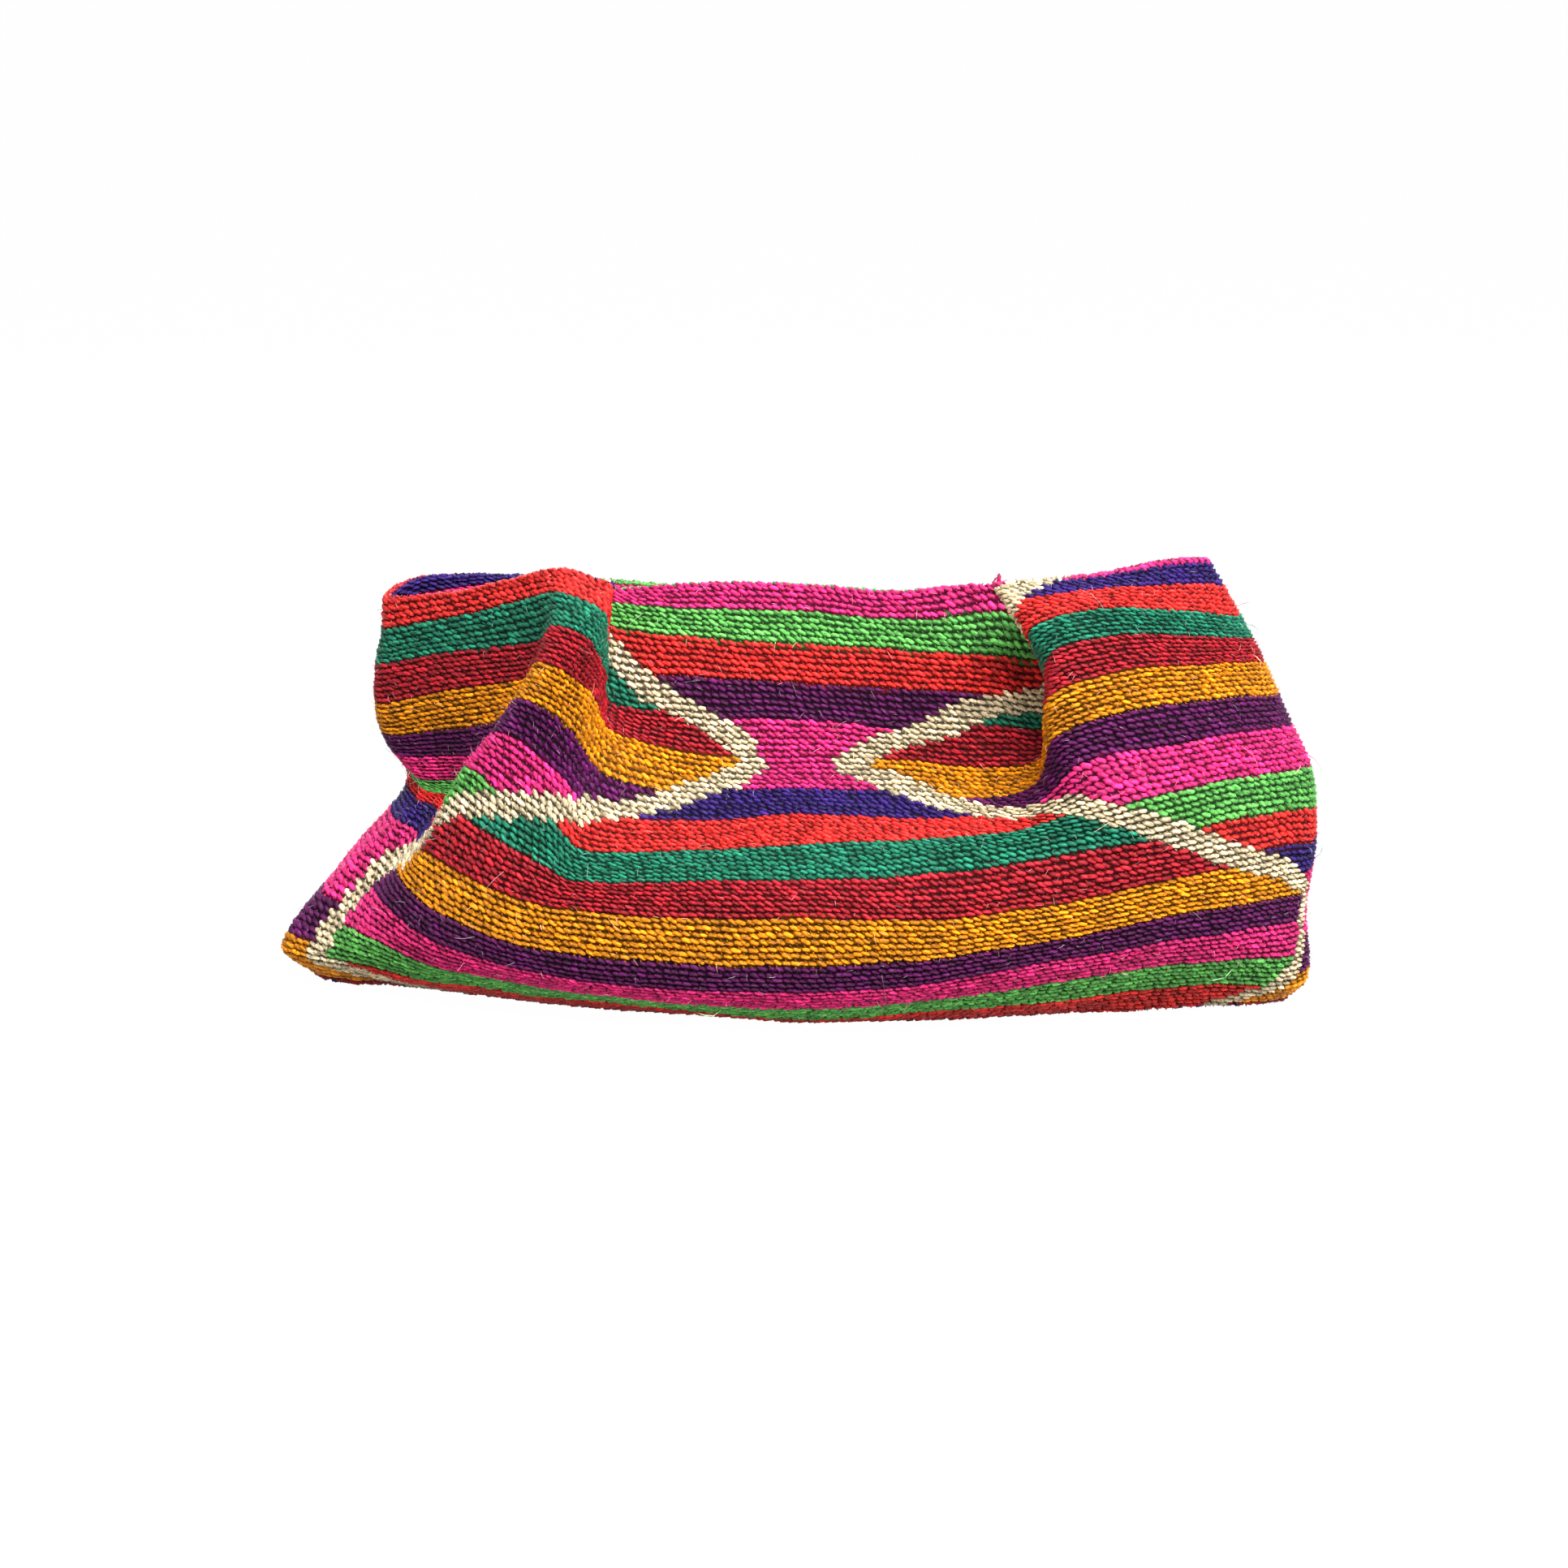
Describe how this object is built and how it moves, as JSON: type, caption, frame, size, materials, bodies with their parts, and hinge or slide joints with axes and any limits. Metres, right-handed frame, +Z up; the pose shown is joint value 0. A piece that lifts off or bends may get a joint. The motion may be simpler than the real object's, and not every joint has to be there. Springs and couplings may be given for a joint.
{
  "type": "crocheted clutch bag",
  "caption": "Slouching crocheted clutch bag with a flat base, a full belly, side lobes folded over a sunken middle panel, and an open mouth along the top.",
  "frame": {"origin": "on the floor, under the middle of the bag's bounding box", "axes": "+X along the bag's length to the viewer's right, +Y towards the back, +Z up from the floor to the mouth"},
  "size_m": [0.373, 0.1164, 0.1625],
  "materials": {
    "dyed_fibre": "matte hand crochet in dyed plant fibre, striped in many colours with cream zigzag lines"
  },
  "bodies": {
    "root": {"crocheted_pouch": "dyed_fibre"}
  },
  "joints": []
}
